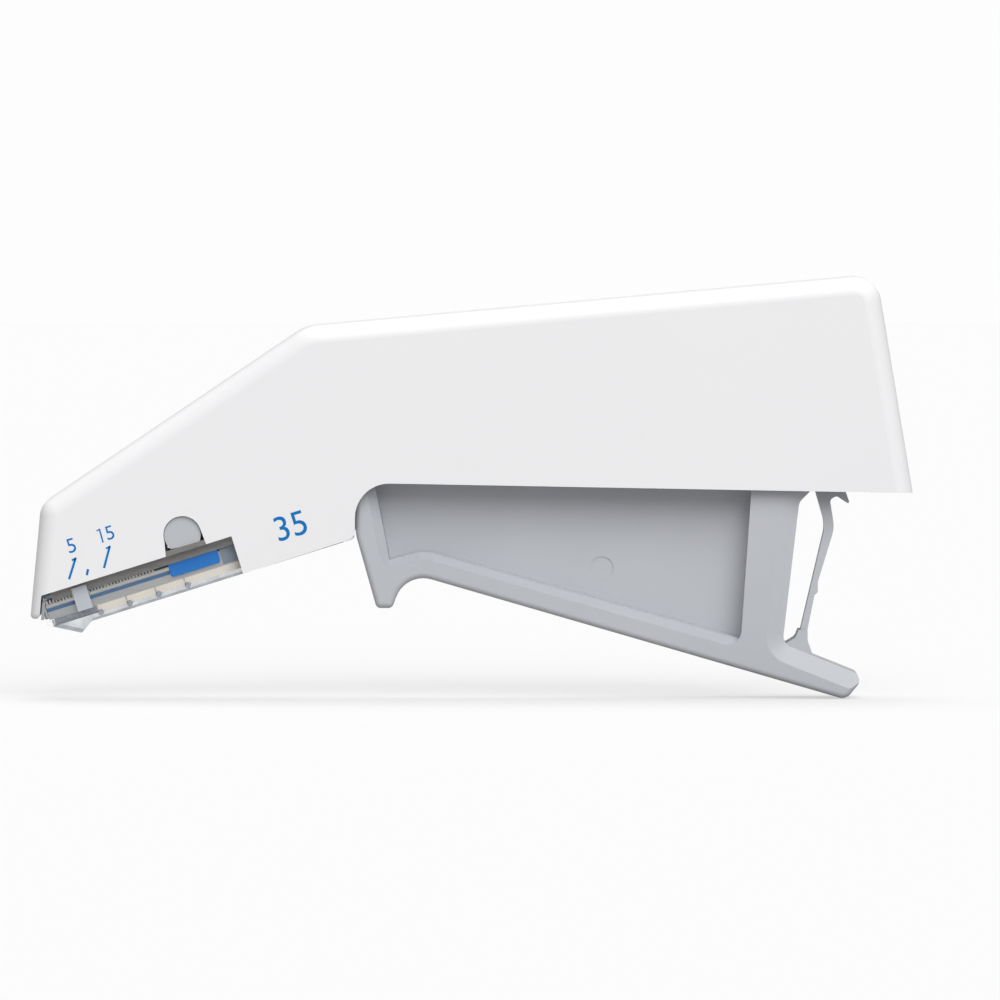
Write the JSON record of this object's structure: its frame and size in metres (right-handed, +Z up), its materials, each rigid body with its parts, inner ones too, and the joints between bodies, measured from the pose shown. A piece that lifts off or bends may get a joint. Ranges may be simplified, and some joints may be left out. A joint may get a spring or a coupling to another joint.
{
  "type": "skin stapler",
  "caption": "Disposable skin stapler with a squeeze trigger, a clear staple cartridge at its nose and a sliding former.",
  "frame": {"origin": "where the ready staple leaves the nose, on the plane between the two housing halves", "axes": "+X from the nose towards the handle, +Y across the stapler to its left side, +Z up towards the housing's roof"},
  "size_m": [0.154, 0.018, 0.0735],
  "materials": {
    "housing_white": "fine satin moulding",
    "clear_plastic": "clear moulded polycarbonate",
    "frosted_plastic": "frosted moulded polycarbonate",
    "strip_steel": "stamped stainless strip",
    "strip_cream": "moulded acetal",
    "staple_wire": "bright stainless wire",
    "pusher_blue": "satin moulding",
    "trigger_grey": "satin moulding"
  },
  "bodies": {
    "stapler_body": {"housing_left": "housing_white", "housing_right": "housing_white", "cartridge_body": "clear_plastic", "cartridge_pads": "frosted_plastic", "cartridge_cover": "strip_steel", "guide_strip": "strip_cream", "staple_track": "strip_steel", "anvil_rail": "strip_steel", "anvil": "strip_steel", "cartridge_end_plug": "clear_plastic", "ready_staple": "staple_wire", "staple_stack": "staple_wire", "pusher_spring": "staple_wire", "spring_rod": "strip_steel", "ejector_spring": "strip_steel"},
    "trigger_body": {"trigger": "trigger_grey"},
    "leaf_body": {"return_leaf": "trigger_grey"},
    "former_body": {"former": "strip_steel", "former_carrier": "trigger_grey"},
    "pusher_body": {"staple_pusher": "pusher_blue"}
  },
  "joints": [
    {"name": "trigger_pivot", "type": "hinge", "parent": "stapler_body", "child": "trigger_body", "pos_m": [0.02406, 0, 0.0152], "axis": [0, -1, 0], "range_deg": [0, 13], "stiffness_Nm_per_rad": 2.5, "springref_deg": -5.73},
    {"name": "leaf_rock", "type": "hinge", "parent": "trigger_body", "child": "leaf_body", "pos_m": [0.1316, 0, -0.006], "axis": [0, -1, 0], "range_deg": [0, 9.6]},
    {"name": "former_slide", "type": "slide", "parent": "stapler_body", "child": "former_body", "axis": [-0.0941, 0, -0.9956], "range_m": [0, 0.00486], "deforming": ["ready_staple"]},
    {"name": "pusher_slide", "type": "slide", "parent": "stapler_body", "child": "pusher_body", "axis": [-0.9542, 0, -0.299], "range_m": [0, 0.0193], "stiffness_N_per_m": 15, "springref_m": 0.03, "deforming": ["staple_stack", "pusher_spring"]}
  ],
  "couplings": [
    {"joint": "leaf_rock", "follows": "trigger_pivot", "ratio": 0.73},
    {"joint": "former_slide", "follows": "trigger_pivot", "m_per_rad": 0.02134}
  ]
}
